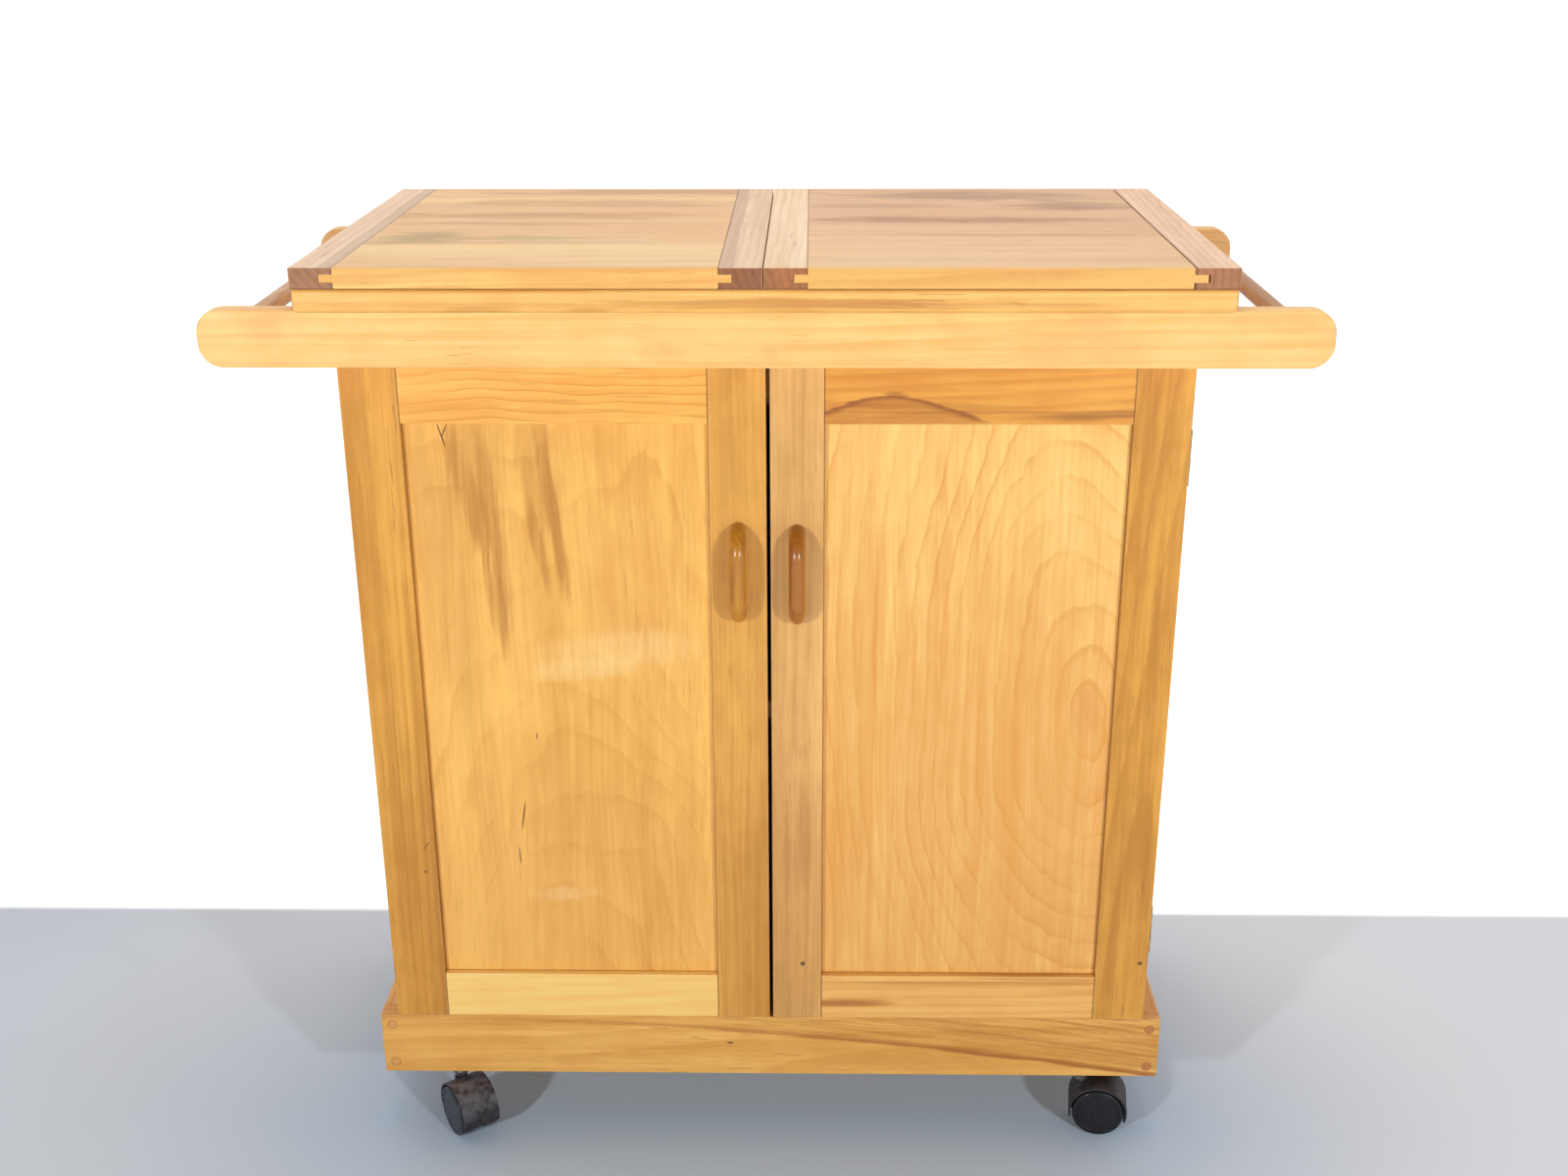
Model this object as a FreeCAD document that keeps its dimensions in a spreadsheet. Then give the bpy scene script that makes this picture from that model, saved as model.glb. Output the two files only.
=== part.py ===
import FreeCAD, Part
import os
import re

# A rolling butcher block table: a two-door cabinet on four swivel casters, under a fixed block top
# that carries two fold-out leaves. Front and rear rails run past the cabinet and hold a round
# handle bar at each end; the opened leaves lie over them.
#
# Frame: millimetres, +Z up, +X to the right, the doors face -Y. The origin is on the floor, under
# the middle of the top.

doc = FreeCAD.newDocument("butcher_block_table")
sheet = doc.addObject("Spreadsheet::Sheet", "dims")

DRIVING_DIMENSIONS = {
    # top
    "top_length": 762,
    "top_depth": 427,
    "base_thick": 19.5,
    "leaf_thick": 17.5,
    "centre_gap": 1,
    "end_board": 35.5,
    "tongue_long": 11,
    "tongue_thick": 6.4,
    "loose_joint": 1.6,
    "slab_round": 4,
    # rails and handle bars
    "rail_length": 931,
    "rail_height": 48.5,
    "rail_corner": 20,
    "rail_round": 2,
    "front_setback": 13,
    "rear_setback": 4,
    "bar_radius": 8,
    "bar_inset": 22.5,
    "bar_socket": 10,
    # cabinet
    "board": 18,
    "ease": 0.8,
    "fit_gap": 0.05,
    "back_thick": 6,
    "shelf_level": 440,
    "housing": 6,
    "stretcher_drop": 45,
    "side_rise": 12,
    # doors
    "door_setback": 38,
    "door_height": 652.5,
    "gap_below": 2,
    "gap_above": 3,
    "door_seam": 3.4,
    "seam_shift": 2,
    "stile_wide": 49.5,
    "stile_narrow": 46.4,
    "top_rail": 55,
    "bottom_rail": 47.5,
    "panel_thick": 6,
    "panel_recess": 6,
    "groove_deep": 8,
    # pulls
    "pull_length": 92,
    "pull_radius": 7.1,
    "pull_reach": 28,
    "pull_drop": 189,
    "pull_lower": 2,
    # skirt
    "skirt_height": 66,
    "plug_radius": 4.75,
    "plug_deep": 6,
    "plug_inset": 10.5,
    "plug_edge": 11.5,
    # hinges
    "plate_thick": 1.1,
    "plate_offset": 0.25,
    "plate_reach": 16,
    "hinge_long": 50,
    "knuckle_radius": 2.4,
    "knuckle_gap": 0.25,
    "pin_radius": 1.2,
    "notch_radius": 2.9,
    "door_hinge_inset": 90,
    "leaf_hinge_inset": 70,
    # screws
    "small_head": 3,
    "small_shank": 1.5,
    "small_long": 13,
    "skirt_head": 4,
    "skirt_shank": 2,
    "skirt_long": 40,
    "pull_head": 3.6,
    "pull_head_thick": 1.6,
    "pull_shank": 2,
    "pull_bite": 10,
    # casters
    "caster_height": 60.5,
    "stem_inset": 72,
    "wheel_radius": 25,
    "wheel_face": 19.6,
    "wheel_wide": 13.6,
    "wheel_round": 1.6,
    "wheel_ring": 20.5,
    "ring_radius": 0.7,
    "axle_radius": 3,
    "axle_half": 17,
    "trail": 17.5,
    "hood_radius": 28.6,
    "hood_wall": 2,
    "hood_half": 18.8,
    "hood_low": 17,
    "hood_low_stem": 19,
    "hood_round": 0.9,
    "web_half": 5.5,
    "hub_radius": 6.5,
    "neck_radius": 6.5,
    "neck_low": 45.5,
    "neck_top": 52.2,
    "stem_radius": 4,
    "stem_low": 29,
    "collar_radius": 7,
    "collar_thick": 3.6,
    "collar_lift": 0.9,
    "shank_radius": 5.5,
    "shank_long": 30,
}

for row, (alias, size) in enumerate(DRIVING_DIMENSIONS.items(), start=1):
    sheet.set(f"A{row}", alias)
    sheet.set(f"B{row}", str(size))
    sheet.setAlias(f"B{row}", alias)
doc.recompute()

ALIAS = re.compile(r"(?<![\w.])(" + "|".join(DRIVING_DIMENSIONS) + r")(?!\w)")

# Heights, from the floor up.
SKIRT_TOP = "caster_height + skirt_height"
DOOR_LOW = f"{SKIRT_TOP} + gap_below"
DOOR_TOP = f"{DOOR_LOW} + door_height"
RAIL_LOW = f"{DOOR_TOP} + gap_above"
RAIL_TOP = f"{RAIL_LOW} + rail_height"
LEAF_LOW = f"{RAIL_TOP} + base_thick"
BAR_LEVEL = f"{RAIL_LOW} + rail_height / 2"
PULL_LEVEL = f"{DOOR_TOP} - pull_drop"
PULL_BEND = "pull_reach - pull_radius"
PULL_STRAIGHT = "pull_length / 2 - pull_reach"

# Depths, from the front (-Y) to the back (+Y).
FRONT_RAIL_FACE = "front_setback - top_depth / 2"
FRONT_RAIL_BACK = f"{FRONT_RAIL_FACE} + board"
DOOR_FACE = f"{FRONT_RAIL_FACE} + door_setback"
DOOR_BACK = f"{DOOR_FACE} + board"
HINGE_PLANE = f"{DOOR_BACK} + plate_thick + plate_offset"
CASE_FRONT = f"{HINGE_PLANE} + plate_thick + plate_offset"
REAR_RAIL_FACE = "top_depth / 2 - rear_setback"
REAR_RAIL_INNER = f"{REAR_RAIL_FACE} - board"
CASE_BACK = f"{REAR_RAIL_INNER} - board"

# Half widths, from the middle outwards.
CASE_HALF = "top_length / 2 - board"
CASE_INNER = "top_length / 2 - 2 * board"
DOOR_HINGE_X = f"{CASE_HALF} + knuckle_radius + 0.2"
LEAF_HINGE_X = "top_length / 2 + plate_thick + plate_offset"

LEFT, RIGHT = -1, 1
SIDES = {"left": LEFT, "right": RIGHT}
X, Y, Z = FreeCAD.Vector(1, 0, 0), FreeCAD.Vector(0, 1, 0), FreeCAD.Vector(0, 0, 1)
ALONG = {
    "x": FreeCAD.Rotation(Y, 90),
    "y": FreeCAD.Rotation(X, -90),
    "z": FreeCAD.Rotation(),
}

nodes = []


def formula(text):
    """The text with each driving dimension read from the sheet."""
    return ALIAS.sub(r"dims.\1", text)


def bind(item, sizes, at=(), turned=None):
    """Ties an object's properties, and its position, to formulas of the driving dimensions."""
    if turned is not None:
        item.Placement = FreeCAD.Placement(FreeCAD.Vector(), turned)
    for name, text in sizes.items():
        item.setExpression(name, formula(text))
    for axis, text in zip("xyz", at):
        item.setExpression("Placement.Base." + axis, formula(text))
    return item


def node(item, label):
    """Names a finished sub-part: its label is its file's name."""
    item.Label = label
    nodes.append(item)
    return item


def axes(x_to, y_to):
    """The rotation that turns X and Y to the given directions."""
    return FreeCAD.Rotation(x_to, y_to, x_to.cross(y_to), "XYZ")


def signed(side, text):
    return f"({text})" if side == RIGHT else f"-({text})"


def span(side, inner, outer):
    """The low and high X of a piece that lies between two half widths on one side."""
    return (inner, outer) if side == RIGHT else (f"-({outer})", f"-({inner})")


def size_of(low, high):
    return f"({high}) - ({low})"


# ---------------------------------------------------------------- bodies made of PartDesign steps

def new_body(label, at, turned=None):
    return bind(doc.addObject("PartDesign::Body", label), {}, at, turned)


def box_step(body, kind, low, high):
    """Adds or removes a box that runs from its low corner to its high corner, in the body's frame."""
    step = body.newObject(f"PartDesign::{kind}Box", f"{body.Name}_{kind.lower()}_box")
    sizes = dict(zip(("Length", "Width", "Height"), map(size_of, low, high)))
    return bind(step, sizes, low)


def round_step(body, kind, radius, length, at, along):
    step = body.newObject(f"PartDesign::{kind}Cylinder", f"{body.Name}_{kind.lower()}_round")
    return bind(step, {"Radius": radius, "Height": length}, at, ALONG[along])


def fillet_step(body, radius, wanted):
    """Rounds the edges of the body's last step that the test `wanted` picks out."""
    doc.recompute()
    base = body.Tip
    picked = [f"Edge{i}" for i, edge in enumerate(base.Shape.Edges, start=1) if wanted(edge)]
    step = body.newObject("PartDesign::Fillet", f"{body.Name}_fillet")
    step.Base = (base, picked)
    return bind(step, {"Radius": radius})


def any_edge(edge):
    return True


def runs_along(axis):
    return lambda edge: abs(edge.Vertexes[-1].Point.sub(edge.Vertexes[0].Point).dot(axis)) > 1e-6


def is_circle(edge):
    return isinstance(edge.Curve, Part.Circle)


def board(label, x, y, z, eased=any_edge):
    """A plank between (low, high) pairs in X, Y and Z, its edges eased, as a body."""
    body = new_body(label, (x[0], y[0], z[0]))
    box_step(body, "Additive", ("0", "0", "0"), (size_of(*x), size_of(*y), size_of(*z)))
    if eased is not None:
        fillet_step(body, "ease", eased)
    return body


# ---------------------------------------------------------------- single Part shapes and groups

def cylinder(label, radius, length, at, along="z"):
    item = doc.addObject("Part::Cylinder", label)
    return bind(item, {"Radius": radius, "Height": length}, at, ALONG[along])


def block(label, low, high):
    item = doc.addObject("Part::Box", label)
    sizes = dict(zip(("Length", "Width", "Height"), map(size_of, low, high)))
    return bind(item, sizes, low)


def fused(label, pieces):
    item = doc.addObject("Part::MultiFuse", label)
    item.Shapes = pieces
    return item


def cut(label, base, tool):
    item = doc.addObject("Part::Cut", label)
    item.Base = base
    item.Tool = tool
    return item


def group(label, pieces):
    item = doc.addObject("Part::Compound", label)
    item.Links = pieces
    return item


# ---------------------------------------------------------------- block top and leaves

def base_slab():
    half = "top_length / 2"
    body = new_body("base_slab", (f"-{half}", "-top_depth / 2", RAIL_TOP))
    box_step(body, "Additive", ("0", "0", "0"), ("top_length", "top_depth", "base_thick"))
    fillet_step(body, "slab_round", any_edge)
    for side in SIDES.values():
        hinge_notches(body, f"{half} + {signed(side, LEAF_HINGE_X)}", "base_thick")
    node(body, "base_slab")


def hinge_notches(body, x, z):
    """Rounded notches that leave room for the knuckles of a leaf's two hinges."""
    for y in ("leaf_hinge_inset", "top_depth - leaf_hinge_inset"):
        low = f"{y} - hinge_long / 2 - 0.5"
        round_step(body, "Subtractive", "notch_radius", "hinge_long + 1", (x, low, z), "y")


def leaf(name, side, slack):
    """A fold-out leaf: a block slab whose tongues slide in the grooves of two end boards.

    `slack` is how far the outer end board has worked away from the slab.
    """
    outer = "top_length / 2"
    outer_in = f"{outer} - end_board"
    slab_out = f"{outer_in} - {slack}"
    slab_in = "centre_gap / 2 + end_board"
    depth = ("-top_depth / 2", "top_depth / 2")
    height = (LEAF_LOW, f"{LEAF_LOW} + leaf_thick")
    lip = "(leaf_thick - tongue_thick) / 2"

    slab_x = span(side, slab_in, slab_out)
    slab = board(f"{name}_leaf_slab", slab_x, depth, height, eased=runs_along(X))
    length = size_of(*slab_x)
    for low, high in (("-tongue_long", "0"), (length, f"{length} + tongue_long")):
        box_step(slab, "Additive", (low, "0", lip), (high, "top_depth", f"{lip} + tongue_thick"))
    node(slab, f"{name}_leaf_slab")

    outer_x = span(side, outer_in, outer)
    outer_end = board(f"{name}_leaf_outer_end", outer_x, depth, height)
    groove(outer_end, side == LEFT, lip)
    hinge_notches(outer_end, edge_x(side, "plate_thick + plate_offset"), "0")
    node(outer_end, f"{name}_leaf_outer_end")

    inner_x = span(side, "centre_gap / 2", slab_in)
    inner_end = board(f"{name}_leaf_inner_end", inner_x, depth, height)
    groove(inner_end, side == RIGHT, lip)
    node(inner_end, f"{name}_leaf_inner_end")


def edge_x(side, beyond):
    """X of a line just beyond the outer edge of an outer end board, in the board's own frame."""
    return f"end_board + {beyond}" if side == RIGHT else f"-({beyond})"


def groove(end, at_high_x, lip):
    """The full-length groove of an end board, a little deeper than the tongue is long."""
    deep = "tongue_long + 0.5"
    low_x, high_x = (f"end_board - ({deep})", "end_board + 1") if at_high_x else ("-1", deep)
    low = (low_x, "-1", f"{lip} - fit_gap")
    high = (high_x, "top_depth + 1", f"{lip} + tongue_thick + fit_gap")
    box_step(end, "Subtractive", low, high)


# ---------------------------------------------------------------- rails and handle bars

def rail(name, front, socket_from):
    """A long rail with rounded ends and a blind socket for each handle bar."""
    body = new_body(f"{name}_rail", ("-rail_length / 2", front, RAIL_LOW))
    box_step(body, "Additive", ("0", "0", "0"), ("rail_length", "board", "rail_height"))
    fillet_step(body, "rail_corner", runs_along(Y))
    fillet_step(body, "rail_round", lambda edge: edge.BoundBox.YLength < 1e-6)
    for x in ("bar_inset", "rail_length - bar_inset"):
        at = (x, socket_from, "rail_height / 2")
        round_step(body, "Subtractive", "bar_radius + fit_gap", "bar_socket + 0.5", at, "y")
    node(body, f"{name}_rail")


def handle_bar(name, side):
    start = f"{FRONT_RAIL_BACK} - bar_socket"
    length = f"{REAR_RAIL_INNER} + bar_socket - ({start})"
    x = signed(side, "rail_length / 2 - bar_inset")
    bar = cylinder(f"{name}_handle_bar", "bar_radius", length, (x, start, BAR_LEVEL), "y")
    node(bar, f"{name}_handle_bar")


# ---------------------------------------------------------------- cabinet

def cabinet():
    case_depth = (CASE_FRONT, CASE_BACK)
    inside_depth = (CASE_FRONT, f"{CASE_BACK} - back_thick")
    across = (f"-({CASE_INNER})", CASE_INNER)
    for name, side in SIDES.items():
        wall_x = span(side, CASE_INNER, CASE_HALF)
        wall = board(f"{name}_side_panel", wall_x, case_depth, ("caster_height + side_rise", RAIL_LOW))
        low_x, high_x = ("board - housing", "board + 1") if side == LEFT else ("-1", "housing")
        level = "shelf_level - caster_height - side_rise"
        low = (low_x, "-1", f"{level} - fit_gap")
        high = (high_x, f"{size_of(*inside_depth)} + fit_gap", f"{level} + board + fit_gap")
        box_step(wall, "Subtractive", low, high)
        node(wall, f"{name}_side_panel")
        bearer_depth = (FRONT_RAIL_BACK, REAR_RAIL_INNER)
        bearer = board(f"{name}_top_bearer", wall_x, bearer_depth, (RAIL_LOW, RAIL_TOP))
        node(bearer, f"{name}_top_bearer")

    back_depth = (f"{CASE_BACK} - back_thick", CASE_BACK)
    back = board("back_panel", across, back_depth, ("caster_height + side_rise", RAIL_TOP), None)
    node(back, "back_panel")
    floor = board("bottom_panel", across, inside_depth, (f"{SKIRT_TOP} - board", SKIRT_TOP))
    node(floor, "bottom_panel")
    housed = f"{CASE_INNER} + housing - 0.5"
    shelf = board("shelf", (f"-({housed})", housed), inside_depth,
                  ("shelf_level", "shelf_level + board"))
    node(shelf, "shelf")
    stretcher_depth = (CASE_FRONT, f"{CASE_FRONT} + board")
    stretcher_height = (f"{RAIL_LOW} - stretcher_drop", RAIL_TOP)
    stretcher = board("front_stretcher", across, stretcher_depth, stretcher_height)
    node(stretcher, "front_stretcher")


def skirt():
    """The plinth frame that carries the casters, its screws hidden under wooden plugs."""
    height = ("caster_height", SKIRT_TOP)
    full = ("-top_length / 2", "top_length / 2")
    faces = {
        "front": (f"{CASE_FRONT} - board", 0),
        "back": (CASE_BACK, 1),
    }
    plugs = []
    screws = []
    for name, (start, outward) in faces.items():
        body = board(f"skirt_{name}_board", full, (start, f"{start} + board"), height)
        for x in ("plug_inset", "top_length - plug_inset"):
            for z in ("plug_edge", "skirt_height - plug_edge"):
                mouth = "board - plug_deep" if outward else "0"
                round_step(body, "Subtractive", "plug_radius", "plug_deep", (x, mouth, z), "y")
                place = (f"{x} - top_length / 2", f"{start} + {mouth}", f"caster_height + {z}")
                plugs.append(cylinder(f"plug_{len(plugs)}", "plug_radius", "plug_deep", place, "y"))
                screws.append(skirt_screw(place, outward))
        for x in ("stem_inset", "top_length - stem_inset"):
            at = (x, "board / 2", "0")
            round_step(body, "Subtractive", "shank_radius + fit_gap", "shank_long + 0.5", at, "z")
        node(body, f"skirt_{name}_board")
    node(group("skirt_plugs", plugs), "skirt_plugs")
    for name, side in SIDES.items():
        wall_x = span(side, CASE_HALF, "top_length / 2")
        node(board(f"skirt_{name}_board", wall_x, (CASE_FRONT, CASE_BACK), height),
             f"skirt_{name}_board")
    return screws


def skirt_screw(place, outward):
    """A screw that starts under a plug and runs through the skirt's face board into its side board."""
    x, y, z = place
    head_start = f"{y} - 2" if outward else f"{y} + plug_deep"
    shank_start = f"{head_start} - skirt_long" if outward else f"{head_start} + 2"
    head = cylinder("skirt_screw_head", "skirt_head", "2", (x, head_start, z), "y")
    shank = cylinder("skirt_screw_shank", "skirt_shank", "skirt_long", (x, shank_start, z), "y")
    return fused("skirt_screw", [head, shank])


# ---------------------------------------------------------------- doors

def door(name, side, inner_stile):
    """A frame of two stiles and two rails around a flat panel, and its pull."""
    free_edge = "door_seam / 2 + seam_shift" if side == RIGHT else "door_seam / 2 - seam_shift"
    depth = (DOOR_FACE, DOOR_BACK)
    height = (DOOR_LOW, DOOR_TOP)
    opening = (f"{free_edge} + {inner_stile}", f"{CASE_HALF} - stile_wide")
    upright = {
        "outer_stile": (span(side, opening[1], CASE_HALF), side == LEFT, "stile_wide"),
        "inner_stile": (span(side, free_edge, opening[0]), side == RIGHT, inner_stile),
    }
    for part, (x, at_high_x, width) in upright.items():
        stile = board(f"{name}_door_{part}", x, depth, height)
        low_x, high_x = (f"{width} - groove_deep", f"{width} + 1") if at_high_x else ("-1", "groove_deep")
        low = (low_x, "panel_recess - fit_gap", "-1")
        high = (high_x, "panel_recess + panel_thick + fit_gap", "door_height + 1")
        box_step(stile, "Subtractive", low, high)
        node(stile, f"{name}_door_{part}")

    rail_x = span(side, *opening)
    levels = {
        "top_rail": (f"{DOOR_TOP} - top_rail", DOOR_TOP, "top_rail"),
        "bottom_rail": (DOOR_LOW, f"{DOOR_LOW} + bottom_rail", "bottom_rail"),
    }
    for part, (low_z, high_z, tall) in levels.items():
        member = board(f"{name}_door_{part}", rail_x, depth, (low_z, high_z), eased=runs_along(X))
        length = size_of(*rail_x)
        low_z, high_z = (f"{tall} - groove_deep", f"{tall} + 1")
        if part == "top_rail":
            low_z, high_z = ("-1", "groove_deep")
        low = ("-1", "panel_recess - fit_gap", low_z)
        high = (f"{length} + 1", "panel_recess + panel_thick + fit_gap", high_z)
        box_step(member, "Subtractive", low, high)
        tenon_low, tenon_high = ("ease", f"{tall} - groove_deep")
        if part == "top_rail":
            tenon_low, tenon_high = ("groove_deep", f"{tall} - ease")
        reach = "groove_deep - 0.5"
        for low_x, high_x in ((f"-({reach})", "0"), (length, f"{length} + {reach}")):
            low = (low_x, "panel_recess", tenon_low)
            high = (high_x, "panel_recess + panel_thick", tenon_high)
            box_step(member, "Additive", low, high)
        node(member, f"{name}_door_{part}")

    tuck = "groove_deep - 0.5"
    panel_x = span(side, f"{opening[0]} - ({tuck})", f"{opening[1]} + {tuck}")
    panel_y = (f"{DOOR_FACE} + panel_recess", f"{DOOR_FACE} + panel_recess + panel_thick")
    panel_z = (f"{DOOR_LOW} + bottom_rail - ({tuck})", f"{DOOR_TOP} - top_rail + {tuck}")
    node(board(f"{name}_door_panel", panel_x, panel_y, panel_z, None), f"{name}_door_panel")

    centre = signed(side, f"{free_edge} + {inner_stile} / 2")
    level = PULL_LEVEL if side == LEFT else f"{PULL_LEVEL} - pull_lower"
    pull(name, centre, level)
    return pull_screws(name, centre, level)


def pull(name, centre, level):
    """A round bar that bends back to the door at both ends, with room for fingers behind it."""
    bar = cylinder("pull_bar", "pull_radius", f"2 * ({PULL_STRAIGHT})",
                   (centre, f"{DOOR_FACE} - ({PULL_BEND})", f"{level} - ({PULL_STRAIGHT})"))
    pieces = [bar]
    for upwards, height in ((Z, PULL_STRAIGHT), (-Z, f"-({PULL_STRAIGHT})")):
        bend = doc.addObject("Part::Torus", "pull_bend")
        bend.Angle3 = 90
        sizes = {"Radius1": PULL_BEND, "Radius2": "pull_radius"}
        place = (centre, DOOR_FACE, f"{level} + {height}")
        pieces.append(bind(bend, sizes, place, axes(-Y, upwards)))
    node(fused(f"{name}_door_pull", pieces), f"{name}_door_pull")


def pull_screws(name, centre, level):
    """Two machine screws, from the back of the stile into the pull's feet."""
    foot = "(pull_length / 2 - pull_radius)"
    screws = []
    for z in (f"{level} + {foot}", f"{level} - {foot}"):
        head = cylinder("pull_screw_head", "pull_head", "pull_head_thick", (centre, DOOR_BACK, z), "y")
        start = f"{DOOR_FACE} - pull_bite"
        shank = cylinder("pull_screw_shank", "pull_shank", "pull_bite + board", (centre, start, z), "y")
        screws.append(fused(f"{name}_pull_screw", [head, shank]))
    return screws


# ---------------------------------------------------------------- hinges

SCREW_REACH = "plate_reach * 0.62"
SCREW_LEVELS = ("-hinge_long * 0.3", "hinge_long * 0.3")


def hinge_half(label, knuckles, place, turned):
    """Half a butt hinge: a plate with two screw holes and its share of the knuckles.

    In its own frame the pin lies on Z, the plate reaches along +X and lies on wood at its +Y side.
    """
    half_long = "hinge_long / 2"
    third = "hinge_long / 3"
    bands = {
        "outer": ((f"-{half_long}", f"-{third} / 2 - knuckle_gap"),
                  (f"{third} / 2 + knuckle_gap", half_long)),
        "middle": ((f"-{third} / 2", f"{third} / 2"),),
    }[knuckles]
    face, back = "plate_offset", "plate_offset + plate_thick"
    clear = "knuckle_radius + 0.4"
    pieces = [block("hinge_plate", (clear, face, f"-{half_long}"), ("plate_reach", back, half_long))]
    for low, high in bands:
        pieces.append(cylinder("hinge_knuckle", "knuckle_radius", size_of(low, high), ("0", "0", low)))
        pieces.append(block("hinge_tab", ("0", face, low), (f"{clear} + 0.2", back, high)))
    bore_at = ("0", "0", f"-{half_long} - 1")
    tools = [cylinder("hinge_bore", "pin_radius + fit_gap", "hinge_long + 2", bore_at)]
    for z in SCREW_LEVELS:
        hole = doc.addObject("Part::Cone", "hinge_hole")
        sizes = {
            "Radius1": "small_head + fit_gap",
            "Radius2": "small_shank + fit_gap",
            "Height": "plate_thick",
        }
        tools.append(bind(hole, sizes, (SCREW_REACH, face, z), ALONG["y"]))
    half = cut(label, fused("hinge_blank", pieces), fused("hinge_tools", tools))
    return bind(half, {}, place, turned)


def hinge_screws(label, place, turned):
    """The two countersunk screws of one hinge half, in the same frame as the half."""
    screws = []
    for z in SCREW_LEVELS:
        head = doc.addObject("Part::Cone", "screw_head")
        sizes = {"Radius1": "small_head", "Radius2": "small_shank", "Height": "plate_thick"}
        bind(head, sizes, (SCREW_REACH, "plate_offset", z), ALONG["y"])
        start = "plate_offset + plate_thick"
        shank = cylinder("screw_shank", "small_shank", "small_long", (SCREW_REACH, start, z), "y")
        screws.append(fused("hinge_screw", [head, shank]))
    return bind(group(label, screws), {}, place, turned)


def hinges():
    """Every butt hinge: two to a door, two to a leaf. Returns the fixed halves, pins and screws."""
    fixed, pins, fixed_screws = [], [], []
    moving_screws = {}
    for name, side in SIDES.items():
        inwards = X * -side
        door_halves, door_screws = [], []
        for z in (f"{DOOR_LOW} + door_hinge_inset", f"{DOOR_TOP} - door_hinge_inset"):
            place = (signed(side, DOOR_HINGE_X), HINGE_PLANE, z)
            fixed.append(hinge_half("door_hinge_frame_half", "outer", place, axes(inwards, Y)))
            fixed_screws.append(hinge_screws("frame_hinge_screws", place, axes(inwards, Y)))
            door_halves.append(hinge_half("door_hinge_door_half", "middle", place, axes(inwards, -Y)))
            door_screws.append(hinge_screws("door_hinge_screws", place, axes(inwards, -Y)))
            low = (place[0], place[1], f"{z} - hinge_long / 2")
            pins.append(cylinder("hinge_pin", "pin_radius", "hinge_long", low))
        node(group(f"{name}_door_hinge_plates", door_halves), f"{name}_door_hinge_plates")
        moving_screws[f"{name}_door"] = door_screws

        leaf_halves, leaf_screws = [], []
        for y in ("leaf_hinge_inset - top_depth / 2", "top_depth / 2 - leaf_hinge_inset"):
            place = (signed(side, LEAF_HINGE_X), y, LEAF_LOW)
            fixed.append(hinge_half("leaf_hinge_base_half", "outer", place, axes(-Z, inwards)))
            fixed_screws.append(hinge_screws("base_hinge_screws", place, axes(-Z, inwards)))
            leaf_halves.append(hinge_half("leaf_hinge_leaf_half", "middle", place, axes(Z, inwards)))
            leaf_screws.append(hinge_screws("leaf_hinge_screws", place, axes(Z, inwards)))
            low = (place[0], f"{y} - hinge_long / 2", place[2])
            pins.append(cylinder("hinge_pin", "pin_radius", "hinge_long", low, "y"))
        node(group(f"{name}_leaf_hinge_plates", leaf_halves), f"{name}_leaf_hinge_plates")
        node(group(f"{name}_leaf_screws", leaf_screws), f"{name}_leaf_screws")
    node(group("fixed_hinge_plates", fixed), "fixed_hinge_plates")
    node(group("hinge_pins", pins), "hinge_pins")
    return fixed_screws, moving_screws


# ---------------------------------------------------------------- casters

# Which way each caster trails behind its stem, in degrees about +Z from +X.
CASTERS = {
    "front_left": (LEFT, "front", -55),
    "front_right": (RIGHT, "front", -8),
    "rear_left": (LEFT, "rear", -148),
    "rear_right": (RIGHT, "rear", -35),
}
STEM_ROWS = {"front": f"{CASE_FRONT} - board / 2", "rear": f"{CASE_BACK} + board / 2"}


def caster(name, side, row, heading):
    """Hood, axle and twin wheels. In their own frame the stem lies on Z and they trail along +X."""
    place = (signed(side, "top_length / 2 - stem_inset"), STEM_ROWS[row], "0")
    turned = FreeCAD.Rotation(Z, heading)

    hood = new_body(f"{name}_hood", place, turned)
    axle_at = lambda y: ("trail", y, "wheel_radius")
    round_step(hood, "Additive", "hood_radius", "2 * hood_half", axle_at("-hood_half"), "y")
    fillet_step(hood, "hood_round", is_circle)
    inside = "hood_radius - hood_wall"
    round_step(hood, "Subtractive", inside, "2 * hood_half + 2", axle_at("-hood_half - 1"), "y")
    round_step(hood, "Additive", f"{inside} + 1", "2 * web_half", axle_at("-web_half"), "y")
    wide = ("hood_half + 1", "hood_radius + 1")
    low = ("trail", f"-({wide[0]})", "-10")
    high = (f"trail + {wide[1]}", wide[0], "hood_low")
    box_step(hood, "Subtractive", low, high)
    low = (f"trail - ({wide[1]})", f"-({wide[0]})", "-10")
    high = ("trail", wide[0], "hood_low_stem")
    box_step(hood, "Subtractive", low, high)
    round_step(hood, "Additive", "hub_radius", "2 * web_half", axle_at("-web_half"), "y")
    round_step(hood, "Additive", "neck_radius", "neck_top - neck_low", ("0", "0", "neck_low"), "z")
    bore_low = "stem_low - 1"
    round_step(hood, "Subtractive", "stem_radius + fit_gap", "40", ("0", "0", bore_low), "z")
    bore_at = axle_at("-web_half - 1")
    round_step(hood, "Subtractive", "axle_radius + 0.02", "2 * web_half + 2", bore_at, "y")
    node(hood, f"{name}_hood")

    axle = new_body(f"{name}_axle", place, turned)
    round_step(axle, "Additive", "axle_radius", "2 * axle_half", axle_at("-axle_half"), "y")
    node(axle, f"{name}_axle")

    pair = group(f"{name}_wheels", [wheel(f"{name}_wheel", end) for end in (LEFT, RIGHT)])
    node(bind(pair, {}, place, turned), f"{name}_wheels")


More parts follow.
